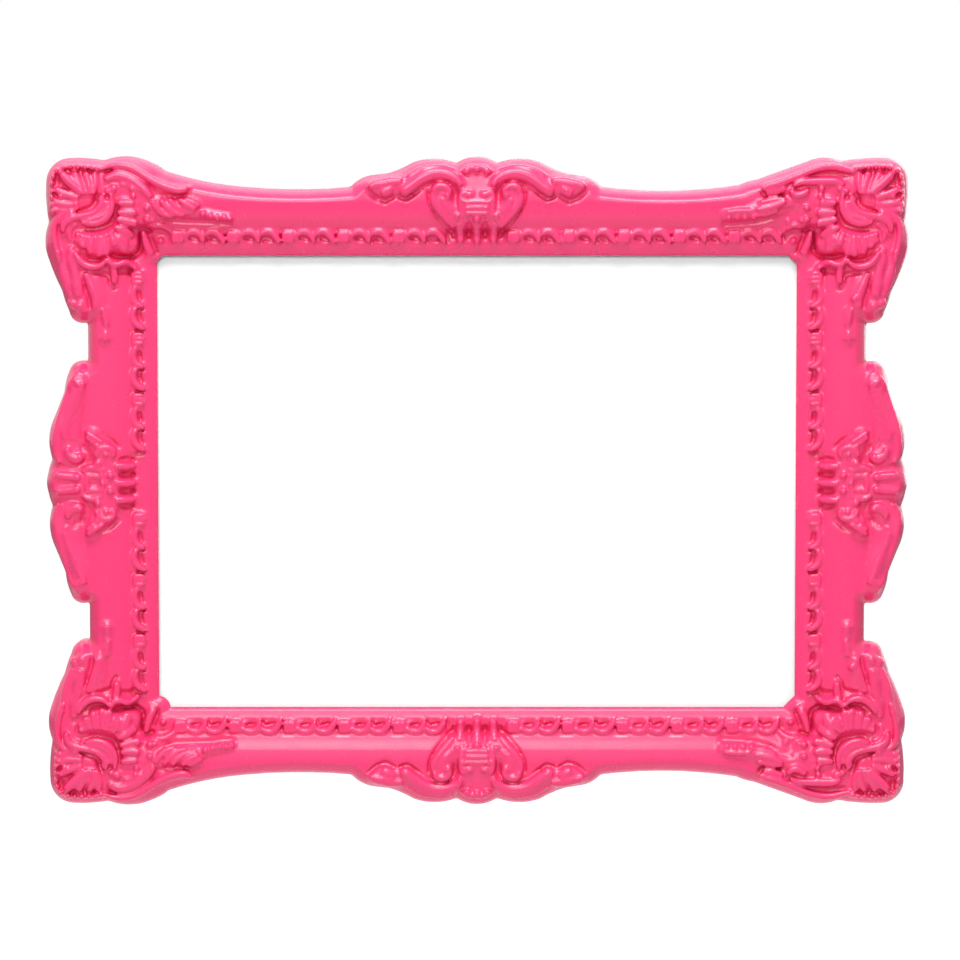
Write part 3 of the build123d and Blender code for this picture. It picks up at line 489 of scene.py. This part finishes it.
class Bed:
    """The bare face behind the ornament: the bars' section, falling off inside the outline."""

    def __init__(self, loop):
        back, front = len(loop), 1.0
        spots = [Vector((co.x, 0.0, co.z)) for co in loop] + [Vector((co.x, front, co.z)) for co in loop]
        walls = [(i, (i + 1) % back, back + (i + 1) % back, back + i) for i in range(back)]
        self.wall = BVHTree.FromPolygons(spots, walls)
        self.cap = BVHTree.FromPolygons(spots[:back], [tuple(range(back))])
        self.pads = []

    def pad(self, place, rise, knots):
        """Adds a low dome along a line of knots."""
        for (near_a, near_b, near_w), (far_a, far_b, far_w) in zip(knots, knots[1:]):
            count = max(2, math.ceil(math.hypot(far_a - near_a, far_b - near_b) / DOME_SPACING))
            for i in range(count + 1):
                share = i / count
                x, z = place(near_a + share * (far_a - near_a), near_b + share * (far_b - near_b))
                self.pads.append((x, z, near_w + share * (far_w - near_w), rise))

    def domes(self):
        """The pads' spots, ready to be looked up by place: the narrow ones, then the wide ones."""
        trees = []
        for pads in ([p for p in self.pads if p[2] <= NARROW], [p for p in self.pads if p[2] > NARROW]):
            tree = KDTree(len(pads))
            for i, pad in enumerate(pads):
                tree.insert((pad[0], 0.0, pad[1]), i)
            tree.balance()
            trees.append((tree, pads, max(pad[2] for pad in pads)))
        return trees

    def inset(self, x, z):
        """Distance in from the outline, less than zero outside it."""
        near = self.wall.find_nearest(Vector((x, 0.5, z)))[3]
        inside = self.cap.ray_cast(Vector((x, 1.0, z)), Vector((0.0, -1.0, 0.0)))[0] is not None
        return near if inside else -near

    def depth(self, x, z):
        """Depth of the bare face at a spot."""
        over, up = abs(x) - HALF_OPENING[0], abs(z) - HALF_OPENING[1]
        across = max(over, up, web_reach(x, z) - math.hypot(over, up))
        return min(along_profile(BAR_SECTION, across), along_profile(SHOULDER, self.inset(x, z)))

    def mesh(self):
        """A closed body under that face."""
        (across, up), step = BED_REACH, bpy.context.scene.frame_sizes.bed_grid
        mesh = bmesh.new()
        bmesh.ops.create_grid(
            mesh, x_segments=round(2 * across / step), y_segments=round(2 * up / step), size=1.0,
            matrix=Matrix(((across, 0, 0, 0), (0, 0, 1, 0), (0, up, 0, 0), (0, 0, 0, 1))))
        trees = self.domes()
        for vert in mesh.verts:
            swell = sink = 0.0
            for tree, pads, widest in trees:
                for _, i, away in tree.find_range((vert.co.x, 0.0, vert.co.z), widest):
                    width, rise = pads[i][2:]
                    if away < width and rise > 0:
                        swell = max(swell, rise * math.sqrt(1.0 - (away / width) ** 2))
                    elif away < width:
                        sink = min(sink, rise * (1.0 - (away / width) ** 2))
            vert.co.y = -min(self.depth(vert.co.x, vert.co.z) + swell + sink, HIGHEST)
        bmesh.ops.recalc_face_normals(mesh, faces=mesh.faces)
        rim = bmesh.ops.extrude_edge_only(mesh, edges=[e for e in mesh.edges if e.is_boundary])["geom"]
        for vert in rim:
            if isinstance(vert, bmesh.types.BMVert):
                vert.co.y = -BASE_DEPTH
        bmesh.ops.contextual_create(mesh, geom=[e for e in mesh.edges if e.is_boundary])
        bmesh.ops.recalc_face_normals(mesh, faces=mesh.faces)
        return mesh


class Carving:
    """Gathers the ornament: pads in the bed, and strokes and beads in one curve, in millimetres."""

    def __init__(self, name, bed):
        self.bed = bed
        self.curve = bpy.data.curves.new(name, "CURVE")
        self.curve.dimensions = "3D"
        self.curve.bevel_depth = 1.0
        self.curve.bevel_resolution = 3
        self.curve.resolution_u = 6
        self.curve.use_fill_caps = True

    def spot(self, place, rise, along, across, radius):
        """The middle of a knot: its top stands a rise above the bed."""
        x, z = place(along, across)
        return Vector((x, radius - min(self.bed.depth(x, z) + rise, HIGHEST), z))

    def line(self, spots):
        """One rounded line through spots, each a place and a half width."""
        spline = self.curve.splines.new("BEZIER")
        spline.bezier_points.add(len(spots) - 1)
        for point, (place, radius) in zip(spline.bezier_points, spots):
            point.co, point.radius = place, radius
            point.handle_left_type = point.handle_right_type = "AUTO"
        spline.radius_interpolation = "CARDINAL"

    def stroke(self, place, rise, knots):
        """A rounded ridge, with the bed swelling under it so that it stands on the bar."""
        self.line([(self.spot(place, rise, *knot), knot[2]) for knot in knots])
        sunk, width = STROKE_SUPPORT
        foot = [(along, across, width * radius) for along, across, radius in knots]
        self.bed.pad(place, rise - sunk * max(knot[2] for knot in knots), foot)

    def bead(self, place, rise, along, across, radius):
        """A round bead, with the bed swelling under it."""
        sunk, width = BEAD_SUPPORT
        self.bed.pad(place, rise - sunk * radius, 2 * ((along, across, width * radius),))
        middle = self.spot(place, rise, along, across, radius)
        self.line([(middle + Vector((share * radius, 0, 0)), width * radius)
                   for share, width in BEAD_LINE])

    def group(self, place, pads, strokes, beads):
        """Pads, strokes and beads at one place."""
        for rise, knots in pads:
            self.bed.pad(place, rise, knots)
        for rise, knots in strokes:
            self.stroke(place, rise, knots)
        for bead in beads:
            self.bead(place, *bead)

    def add_to(self, mesh):
        """Adds the strokes and beads to a bmesh."""
        rough = bpy.data.objects.new(self.curve.name, self.curve)
        bpy.context.scene.collection.objects.link(rough)
        bpy.context.view_layer.update()
        data = bpy.data.meshes.new_from_object(rough.evaluated_get(bpy.context.evaluated_depsgraph_get()))
        mesh.from_mesh(data)
        bpy.data.objects.remove(rough)
        bpy.data.meshes.remove(data)


def corner_place(across_sign, up_sign):
    """Puts the corner's own measures at one corner of the frame."""
    def place(out_x, out_z):
        return across_sign * (HALF_OPENING[0] + out_x), up_sign * (HALF_OPENING[1] + out_z)
    return place


def bar_place(side, mirrored=1):
    """Puts the measures of a crest or the band on one bar: top, bottom, left or right."""
    def place(along, out):
        along *= mirrored
        spots = {
            "top": (along, HALF_OPENING[1] + out),
            "bottom": (along, -HALF_OPENING[1] - out),
            "left": (-HALF_OPENING[0] - out, -along),
            "right": (HALF_OPENING[0] + out, -along),
        }
        return spots[side]
    return place


def carve_corners(carving):
    """The ornament of the four corners."""
    for across_sign, pads, strokes, beads in (
        (-1, LEFT_PADS, LEFT_STROKES, LEFT_BEADS), (1, RIGHT_PADS, RIGHT_STROKES, RIGHT_BEADS),
    ):
        for up_sign in (1, -1):
            place = corner_place(across_sign, up_sign)
            carving.group(place, CORNER_PADS + pads, CORNER_STROKES + strokes, CORNER_BEADS + beads)


def carve_crests(carving):
    """The four crests, each of two halves and a middle."""
    top = (CREST_PADS, CREST_STROKES, CREST_BEADS), ((), CREST_MIDDLE_STROKES, CREST_MIDDLE_BEADS)
    sides = (
        (SIDE_CREST_PADS, SIDE_CREST_STROKES, SIDE_CREST_BEADS),
        ((), SIDE_CREST_MIDDLE_STROKES, SIDE_CREST_MIDDLE_BEADS),
    )
    for side, (halves, middle) in (("top", top), ("bottom", top), ("left", sides), ("right", sides)):
        for mirrored in (1, -1):
            carving.group(bar_place(side, mirrored), *halves)
        carving.group(bar_place(side), *middle)


def carve_band(carving):
    """The hooked band round the opening, repeated from the middle of each side."""
    for side, half in (("top", HALF_OPENING[0]), ("bottom", HALF_OPENING[0]), ("left", HALF_OPENING[1]),
                       ("right", HALF_OPENING[1])):
        count = round((half - BAND_GAP - BAND_END) / BAND_PITCH)
        pitch = (half - BAND_GAP - BAND_END) / count
        place = bar_place(side)
        starts = [BAND_GAP + i * pitch for i in range(count)]
        starts += [-BAND_GAP - (i + 1) * pitch for i in range(count)]
        for start in starts:
            for rows, add in ((BAND_PADS, carving.bed.pad), (BAND_STROKES, carving.stroke)):
                for rise, knots in rows:
                    moved = [(start + along * pitch / BAND_PITCH, out, r) for along, out, r in knots]
                    add(place, rise, moved)


def drop_specks(mesh):
    """Deletes the few voxels that the remesh leaves apart from the body."""
    parts, seen = [], set()
    for vert in mesh.verts:
        if vert in seen:
            continue
        seen.add(vert)
        part = [vert]
        for here in part:
            for edge in here.link_edges:
                other = edge.other_vert(here)
                if other not in seen:
                    seen.add(other)
                    part.append(other)
        parts.append(part)
    parts.sort(key=len)
    for part in parts[:-1]:
        bmesh.ops.delete(mesh, geom=part, context="VERTS")


def carved_front(loop):
    """The whole carved front, melted together and softened, trimmed where the back begins."""
    sizes = bpy.context.scene.frame_sizes
    bed = Bed(loop)
    carving = Carving("carving", bed)
    carve_corners(carving)
    carve_crests(carving)
    carve_band(carving)
    body = bed.mesh()
    carving.add_to(body)
    melted = applied(
        "carved", body,
        ("REMESH", {"mode": "VOXEL", "voxel_size": sizes.voxel, "adaptivity": 0.0}),
        ("SMOOTH", {"factor": 0.5, "iterations": sizes.smoothing}),
    )
    drop_specks(melted)
    cut(melted, (0, FRONT_OVERLAP - sizes.split_depth, 0), (0, 1, 0))
    return melted


class FRAME_OT_moulding(bpy.types.Operator):
    """Build the moulding: its hollow back and its carved front"""
    bl_idname = "frame.moulding"
    bl_label = "Moulding"

    def execute(self, context):
        plastic = plastic_material()
        back, loop = hollow_back()
        piece = finished("moulding_back", back, plastic, BACK_ANGLE)
        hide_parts("frame_moulding")
        front = carved_front(loop)
        for name, x_side, z_side in (
            ("carving_top_left", 1, -1), ("carving_top_right", -1, -1),
            ("carving_bottom_left", 1, 1), ("carving_bottom_right", -1, 1),
        ):
            quarter = front.copy()
            cut(quarter, (0, 0, 0), (x_side, 0, 0))
            cut(quarter, (0, 0, 0), (0, 0, z_side))
            piece = finished(name, quarter, plastic, CARVING_ANGLE)
        front.free()
        return {"FINISHED"}


def new_material(name):
    """An empty node material with its shader, output and Object coordinates."""
    material = bpy.data.materials.new(name)
    material.use_nodes = True
    nodes = material.node_tree.nodes
    shader = nodes["Principled BSDF"]
    coordinates = nodes.new("ShaderNodeTexCoord")
    return material, nodes, material.node_tree.links, shader, coordinates.outputs["Object"]


def add_noise(nodes, links, vector, scale, detail=4.0, roughness=0.5):
    """A noise texture's value."""
    noise = nodes.new("ShaderNodeTexNoise")
    noise.inputs["Scale"].default_value = scale
    noise.inputs["Detail"].default_value = detail
    noise.inputs["Roughness"].default_value = roughness
    links.new(vector, noise.inputs["Vector"])
    return noise.outputs["Fac"]


def add_ramp(nodes, links, factor, stops):
    """A ramp over stops, each a position and a colour."""
    ramp = nodes.new("ShaderNodeValToRGB")
    ramp.color_ramp.elements[0].position, ramp.color_ramp.elements[0].color = stops[0]
    ramp.color_ramp.elements[1].position, ramp.color_ramp.elements[1].color = stops[-1]
    for position, colour in stops[1:-1]:
        ramp.color_ramp.elements.new(position).color = colour
    links.new(factor, ramp.inputs["Fac"])
    return ramp.outputs["Color"]


def add_bump(nodes, links, height, distance, strength, normal=None):
    """A bump's normal, over another one where that is given."""
    bump = nodes.new("ShaderNodeBump")
    bump.inputs["Distance"].default_value = distance
    bump.inputs["Strength"].default_value = strength
    links.new(height, bump.inputs["Height"])
    if normal is not None:
        links.new(normal, bump.inputs["Normal"])
    return bump.outputs["Normal"]


def grey(value):
    """A linear grey."""
    return (value, value, value, 1.0)


def plastic_material():
    """Glossy moulded plastic with painted shade in its creases, where ambient occlusion darkens the colour,
    with a fine grain and slow waves in its gloss.
    """
    colours = bpy.context.scene.frame_colours
    material, nodes, links, shader, place = new_material("moulded_plastic")
    # Painted shade: ambient occlusion over 2.2 mm darkens the base colour towards the deeper pink in creases
    # and hollows
    occlusion = nodes.new("ShaderNodeAmbientOcclusion")
    occlusion.samples = 8
    occlusion.inputs["Distance"].default_value = 0.0022
    crease = nodes.new("ShaderNodeMapRange")
    crease.inputs["From Min"].default_value = 0.35
    crease.inputs["From Max"].default_value = 0.85
    links.new(occlusion.outputs["AO"], crease.inputs["Value"])
    mix = nodes.new("ShaderNodeMix")
    mix.data_type = "RGBA"
    mix.inputs["A"].default_value = colours.plastic_painted_shade
    mottle = add_noise(nodes, links, place, 60.0, 3.0)
    shades = add_ramp(nodes, links, mottle, (
        (0.1, tuple(0.975 * c for c in colours.plastic[:3]) + (1.0,)), (0.9, tuple(colours.plastic))))
    links.new(shades, mix.inputs["B"])
    links.new(crease.outputs["Result"], mix.inputs["Factor"])
    links.new(mix.outputs["Result"], shader.inputs["Base Color"])
    gloss = add_noise(nodes, links, place, 220.0, 5.0)
    sheen = add_ramp(nodes, links, gloss, ((0.0, grey(0.20)), (1.0, grey(0.32))))
    links.new(sheen, shader.inputs["Roughness"])
    fine = add_noise(nodes, links, place, 1400.0, 4.0)
    slow = add_noise(nodes, links, place, 120.0, 1.0)
    normal = add_bump(nodes, links, fine, bpy.context.scene.frame_sizes.grain_height, 0.15)
    links.new(add_bump(nodes, links, slow, 0.0002, 0.2, normal), shader.inputs["Normal"])
    return material


def steel_material(name, colour, roughness):
    """Zinc-plated steel with fine drawn streaks and a faint spangle."""
    material, nodes, links, shader, place = new_material(name)
    shader.inputs["Metallic"].default_value = 1.0
    spread = nodes.new("ShaderNodeMapping")
    spread.inputs["Scale"].default_value = (1.0, 1.0, 14.0)
    links.new(place, spread.inputs["Vector"])
    streaks = add_noise(nodes, links, spread.outputs["Vector"], 900.0, 5.0)
    spangle = nodes.new("ShaderNodeTexVoronoi")
    spangle.inputs["Scale"].default_value = 700.0
    links.new(place, spangle.inputs["Vector"])
    stops = ((0.1, grey(colour)), (0.9, grey(colour * 0.86)))
    tone = add_ramp(nodes, links, spangle.outputs["Distance"], stops)
    links.new(tone, shader.inputs["Base Color"])
    links.new(add_ramp(nodes, links, streaks, ((0.3, grey(roughness)), (0.7, grey(roughness + 0.14)))),
              shader.inputs["Roughness"])
    links.new(add_bump(nodes, links, streaks, 0.00002, 0.4), shader.inputs["Normal"])
    return material


def ferrite_material():
    """Dark sintered ferrite with a matt grain and paler wear specks."""
    material, nodes, links, shader, place = new_material("ferrite")
    grain = add_noise(nodes, links, place, 2600.0, 6.0, 0.7)
    links.new(add_ramp(nodes, links, grain, ((0.35, grey(0.010)), (0.62, grey(0.028)), (0.8, grey(0.07)))),
              shader.inputs["Base Color"])
    cloud = add_noise(nodes, links, place, 300.0)
    sheen = add_ramp(nodes, links, cloud, ((0.3, grey(0.38)), (0.7, grey(0.6))))
    links.new(sheen, shader.inputs["Roughness"])
    links.new(add_bump(nodes, links, grain, 0.00006, 0.5), shader.inputs["Normal"])
    return material


def board_material():
    """Pressed grey-brown board with flecks of fibre."""
    board = bpy.context.scene.frame_colours.board
    material, nodes, links, shader, place = new_material("pressed_board")
    flecks = add_noise(nodes, links, place, 1100.0, 8.0, 0.75)
    dark = tuple(0.62 * c for c in board[:3]) + (1.0,)
    light = tuple(min(1.0, 1.35 * c) for c in board[:3]) + (1.0,)
    links.new(add_ramp(nodes, links, flecks, ((0.32, dark), (0.5, tuple(board)), (0.7, light))),
              shader.inputs["Base Color"])
    shader.inputs["Roughness"].default_value = 0.78
    links.new(add_bump(nodes, links, flecks, 0.00012, 0.5), shader.inputs["Normal"])
    return material


def card_material():
    """Bare white card with a faint paper tooth."""
    card = bpy.context.scene.frame_colours.card
    material, nodes, links, shader, place = new_material("white_card")
    tooth = add_noise(nodes, links, place, 1500.0, 6.0, 0.6)
    shade = tuple(0.99 * c for c in card[:3]) + (1.0,)
    tone = add_ramp(nodes, links, tooth, ((0.35, shade), (0.65, tuple(card))))
    links.new(tone, shader.inputs["Base Color"])
    shader.inputs["Roughness"].default_value = 0.6
    links.new(add_bump(nodes, links, tooth, 0.00001, 0.2), shader.inputs["Normal"])
    return material


def sheet_material():
    """Clear polished sheet: light goes straight through, and only its surface shines."""
    material, nodes, links, shader, place = new_material("clear_sheet")
    nodes.remove(shader)
    through = nodes.new("ShaderNodeBsdfTransparent")
    shine = nodes.new("ShaderNodeBsdfGlossy")
    haze = add_noise(nodes, links, place, 400.0, 3.0)
    sheen = add_ramp(nodes, links, haze, ((0.3, grey(0.05)), (0.7, grey(0.065))))
    links.new(sheen, shine.inputs["Roughness"])
    fresnel = nodes.new("ShaderNodeFresnel")
    fresnel.inputs["IOR"].default_value = 1.45
    mix = nodes.new("ShaderNodeMixShader")
    rays = nodes.new("ShaderNodeLightPath")
    lit = nodes.new("ShaderNodeMath")
    lit.operation = "SUBTRACT"
    lit.use_clamp = True
    links.new(fresnel.outputs["Fac"], lit.inputs[0])
    links.new(rays.outputs["Is Shadow Ray"], lit.inputs[1])
    links.new(lit.outputs["Value"], mix.inputs["Fac"])
    links.new(through.outputs["BSDF"], mix.inputs[1])
    links.new(shine.outputs["BSDF"], mix.inputs[2])
    links.new(mix.outputs["Shader"], nodes["Material Output"].inputs["Surface"])
    return material


def adhesive_material():
    """Cured glue, cloudy and a little rubbery."""
    material, nodes, links, shader, place = new_material("cured_glue")
    cloud = add_noise(nodes, links, place, 500.0, 4.0)
    links.new(add_ramp(nodes, links, cloud, ((0.3, srgb(0.80, 0.77, 0.70)), (0.7, srgb(0.90, 0.88, 0.82)))),
              shader.inputs["Base Color"])
    shader.inputs["Roughness"].default_value = 0.45
    links.new(add_bump(nodes, links, cloud, 0.0001, 0.4), shader.inputs["Normal"])
    return material


def dress(names, material):
    """Gives CAD nodes a finish."""
    for name in names:
        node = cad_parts[name]
        node.data.materials.clear()
        node.data.materials.append(material)


def nodes_like(prefix, *but):
    """Names of the CAD nodes that start with a prefix, in order, but for some."""
    return [name for name in sorted(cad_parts) if name.startswith(prefix) and name not in but]


class FRAME_OT_picture_stack(bpy.types.Operator):
    """Finish the clear window, the bare photo card and the backing board"""
    bl_idname = "frame.picture_stack"
    bl_label = "Picture stack"

    def execute(self, context):
        dress(["clear_window"], sheet_material())
        dress(["photo_card"], card_material())
        dress(["backing_panel"], board_material())
        return {"FINISHED"}


class FRAME_OT_fastenings(bpy.types.Operator):
    """Finish the turn buttons and their screws"""
    bl_idname = "frame.fastenings"
    bl_label = "Turn buttons and screws"

    def execute(self, context):
        dress(nodes_like("turn_button_", "turn_button_screws"), steel_material("button_steel", 0.40, 0.28))
        dress(["turn_button_screws"], steel_material("screw_steel", 0.34, 0.22))
        return {"FINISHED"}


class FRAME_OT_magnets(bpy.types.Operator):
    """Finish the magnets and the glue behind them"""
    bl_idname = "frame.magnets"
    bl_label = "Magnets"

    def execute(self, context):
        dress(nodes_like("magnet_", "magnet_adhesive_discs"), ferrite_material())
        dress(["magnet_adhesive_discs"], adhesive_material())
        return {"FINISHED"}


def lamp(name, place, target, size, power):
    """A soft rectangular lamp aimed at a point."""
    data = bpy.data.lights.new(name, "AREA")
    data.shape = "RECTANGLE"
    data.size, data.size_y = size
    data.energy = power
    light = bpy.data.objects.new(name, data)
    bpy.context.scene.collection.objects.link(light)
    light.location = place
    light.rotation_euler = (Vector(target) - Vector(place)).to_track_quat("-Z", "Y").to_euler()


class FRAME_OT_studio(bpy.types.Operator):
    """Set up the pale floor, the plain soft light and the camera"""
    bl_idname = "frame.studio"
    bl_label = "Studio"

    def execute(self, context):
        scene = context.scene
        scene.view_settings.view_transform = "Standard"
        world = bpy.data.worlds.new("studio")
        scene.world = world
        world.use_nodes = True
        nodes, links = world.node_tree.nodes, world.node_tree.links
        nodes.clear()
        rays = nodes.new("ShaderNodeLightPath")
        fill = nodes.new("ShaderNodeBackground")
        fill.inputs["Color"].default_value = grey(1.0)
        fill.inputs["Strength"].default_value = 0.24
        white = nodes.new("ShaderNodeBackground")
        white.inputs["Color"].default_value = grey(1.0)
        white.inputs["Strength"].default_value = 1.0
        either = nodes.new("ShaderNodeMath")
        either.operation = "MAXIMUM"
        links.new(rays.outputs["Is Camera Ray"], either.inputs[0])
        links.new(rays.outputs["Is Transmission Ray"], either.inputs[1])
        any_clear = nodes.new("ShaderNodeMath")
        any_clear.operation = "MAXIMUM"
        links.new(either.outputs["Value"], any_clear.inputs[0])
        links.new(rays.outputs["Is Glossy Ray"], any_clear.inputs[1])
        mix = nodes.new("ShaderNodeMixShader")
        output = nodes.new("ShaderNodeOutputWorld")
        links.new(any_clear.outputs["Value"], mix.inputs["Fac"])
        links.new(fill.outputs["Background"], mix.inputs[1])
        links.new(white.outputs["Background"], mix.inputs[2])
        links.new(mix.outputs["Shader"], output.inputs["Surface"])

        floor = bmesh.new()
        bmesh.ops.create_grid(floor, x_segments=4, y_segments=4, size=6.0,
                              matrix=Matrix.Translation((0.0, 0.0, -0.32)))
        data = bpy.data.meshes.new("floor")
        floor.to_mesh(data)
        floor.free()
        ground = bpy.data.objects.new("floor", data)
        scene.collection.objects.link(ground)
        material, nodes, links, shader, place = new_material("pale_floor")
        shader.inputs["Base Color"].default_value = grey(0.86)
        shader.inputs["Roughness"].default_value = 0.9
        glow = nodes.new("ShaderNodeEmission")
        glow.inputs["Strength"].default_value = 0.75
        rays = nodes.new("ShaderNodeLightPath")
        none = nodes.new("ShaderNodeEmission")
        none.inputs["Strength"].default_value = 0.0
        pick = nodes.new("ShaderNodeMixShader")
        total = nodes.new("ShaderNodeAddShader")
        links.new(rays.outputs["Is Camera Ray"], pick.inputs["Fac"])
        links.new(none.outputs["Emission"], pick.inputs[1])
        links.new(glow.outputs["Emission"], pick.inputs[2])
        links.new(shader.outputs["BSDF"], total.inputs[0])
        links.new(pick.outputs["Shader"], total.inputs[1])
        links.new(total.outputs["Shader"], nodes["Material Output"].inputs["Surface"])
        data.materials.append(material)

        lamp("overhead", (0.0, -0.42, 0.80), (0, 0, 0), (0.55, 0.30), 7.0)
        lamp("front", (-0.15, -1.05, 0.55), (0, 0, 0), (0.6, 0.5), 6.0)
        lamp("above", (0.0, 0.40, 0.78), (0, 0, 0), (1.1, 0.6), 3.0)
        lamp("behind", (0.3, 1.0, 0.3), (0, 0, 0), (0.8, 0.8), 5.0)

        camera = bpy.data.cameras.new("camera")
        camera.sensor_width = SENSOR_WIDTH
        view = bpy.data.objects.new("camera", camera)
        scene.collection.objects.link(view)
        scene.camera = view
        distance, lift = 1.0, math.radians(3.5)
        camera.lens = SENSOR_WIDTH * (distance - FACE_DEPTH) / VIEW_WIDTH
        target = Vector((-0.0002, -0.007, -0.0002))
        view.location = target + distance * Vector((0.0, -math.cos(lift), math.sin(lift)))
        view.rotation_euler = (target - view.location).to_track_quat("-Z", "Y").to_euler()
        camera.shift_x, camera.shift_y = 0.0040, 0.0031
        camera.clip_start, camera.clip_end = 0.01, 20.0
        return {"FINISHED"}


class FRAME_PT_panel(bpy.types.Panel):
    """Sizes, colours and steps of the photo frame"""
    bl_idname = "FRAME_PT_panel"
    bl_label = "Magnetic photo frame"
    bl_space_type = "VIEW_3D"
    bl_region_type = "UI"
    bl_category = "Photo Frame"

    def draw(self, context):
        for group in (context.scene.frame_sizes, context.scene.frame_colours):
            for key in group.bl_rna.properties.keys():
                if key not in ("rna_type", "name"):
                    self.layout.prop(group, key)
        for step in STEPS:
            self.layout.operator(step.bl_idname)


STEPS = (FRAME_OT_moulding, FRAME_OT_picture_stack, FRAME_OT_fastenings, FRAME_OT_magnets, FRAME_OT_studio)
CLASSES = (FrameSizes, FrameColours) + STEPS + (FRAME_PT_panel,)


def register():
    for cls in CLASSES:
        bpy.utils.register_class(cls)
    bpy.types.Scene.frame_sizes = bpy.props.PointerProperty(type=FrameSizes)
    bpy.types.Scene.frame_colours = bpy.props.PointerProperty(type=FrameColours)


def unregister():
    del bpy.types.Scene.frame_colours
    del bpy.types.Scene.frame_sizes
    for cls in reversed(CLASSES):
        bpy.utils.unregister_class(cls)


def main():
    register()
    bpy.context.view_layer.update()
    bpy.ops.frame.moulding()
    bpy.ops.frame.picture_stack()
    bpy.ops.frame.fastenings()
    bpy.ops.frame.magnets()
    bpy.ops.frame.studio()


if __name__ == "__main__":
    main()
